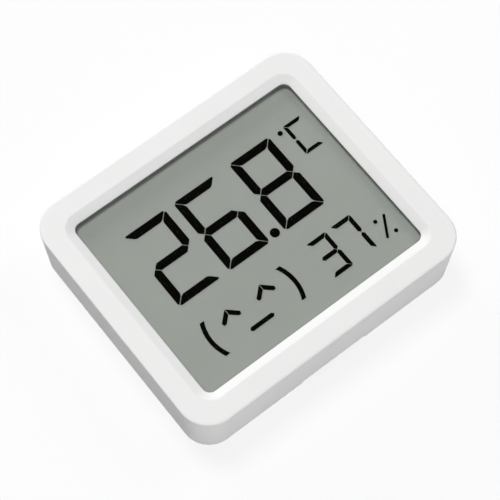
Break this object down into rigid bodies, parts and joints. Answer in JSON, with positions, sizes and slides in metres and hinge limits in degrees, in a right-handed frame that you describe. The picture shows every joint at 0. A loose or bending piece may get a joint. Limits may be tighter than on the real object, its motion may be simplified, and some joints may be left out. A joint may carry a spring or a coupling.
{
  "type": "temperature humidity sensor",
  "caption": "Battery-powered room temperature and humidity sensor: rounded white housing with a recessed segment display, snap-in back cover, pairing button and coin cell.",
  "frame": {"origin": "centre of the back face that it lies or is fixed on", "axes": "+Z out of the display, +Y towards the display's top edge, +X to the display's right"},
  "size_m": [0.06, 0.0514, 0.0125],
  "materials": {
    "housing_white": "fine matte moulded",
    "cover_white": "fine matte moulded",
    "button_white": "satin moulded",
    "gasket_foam": "closed-cell foam",
    "polarizer_film": "anti-glare film",
    "display_glass": "clear polished",
    "segment_black": "dark liquid crystal",
    "seal_grey": "cured epoxy",
    "reflector_grey": "transflective film",
    "frame_grey": "moulded",
    "zebra_rubber": "silicone with carbon layers",
    "board_green": "solder mask",
    "chip_black": "moulded epoxy",
    "sensor_grey": "moulded epoxy",
    "contact_steel": "nickel-plated spring steel",
    "screw_steel": "zinc plated",
    "crystal_metal": "lidded can",
    "passive_ceramic": "sintered",
    "copper_gold": "immersion gold",
    "switch_black": "moulded",
    "plunger_white": "moulded",
    "cell_steel": "drawn stainless",
    "cell_pack": "pressed powder",
    "cell_seal": "moulded"
  },
  "bodies": {
    "housing": {"front_housing": "housing_white", "display_gasket": "gasket_foam", "front_polarizer": "polarizer_film", "lcd_front_glass": "display_glass", "lcd_segments": "segment_black", "lcd_seal": "seal_grey", "lcd_rear_glass": "display_glass", "rear_reflector": "reflector_grey", "lcd_frame": "frame_grey", "zebra_strip": "zebra_rubber", "circuit_board": "board_green", "board_screws": "screw_steel", "radio_chip": "chip_black", "crystals": "crystal_metal", "chip_passives": "passive_ceramic", "antenna_trace": "copper_gold", "program_pads": "copper_gold", "sensor_chip": "sensor_grey", "switch_body": "switch_black", "switch_terminals": "contact_steel", "switch_dome": "contact_steel", "battery_clip": "contact_steel", "negative_contact": "contact_steel"},
    "cover": {"back_cover": "cover_white"},
    "button": {"pairing_button": "button_white"},
    "plunger": {"switch_plunger": "plunger_white"},
    "coin_cell": {"cell_can": "cell_steel", "cell_electrodes": "cell_pack", "cell_cap": "cell_steel", "cell_grommet": "cell_seal"}
  },
  "joints": [
    {"name": "cover_swing", "type": "hinge", "parent": "housing", "child": "cover", "pos_m": [0, 0.02397, 0.0013], "axis": [1, 0, 0], "range_deg": [0, 20]},
    {"name": "button_press", "type": "slide", "parent": "cover", "child": "button", "axis": [0, 0, 1], "range_m": [0, 0.0003], "stiffness_N_per_m": 200},
    {"name": "plunger_press", "type": "slide", "parent": "housing", "child": "plunger", "axis": [0, 0, 1], "range_m": [0, 0.0003], "deforming": ["switch_dome"]},
    {"name": "cell_slide", "type": "slide", "parent": "housing", "child": "coin_cell", "axis": [0, -1, 0], "range_m": [0, 0.02]}
  ],
  "couplings": [
    {"joint": "plunger_press", "follows": "button_press", "ratio": 1}
  ]
}
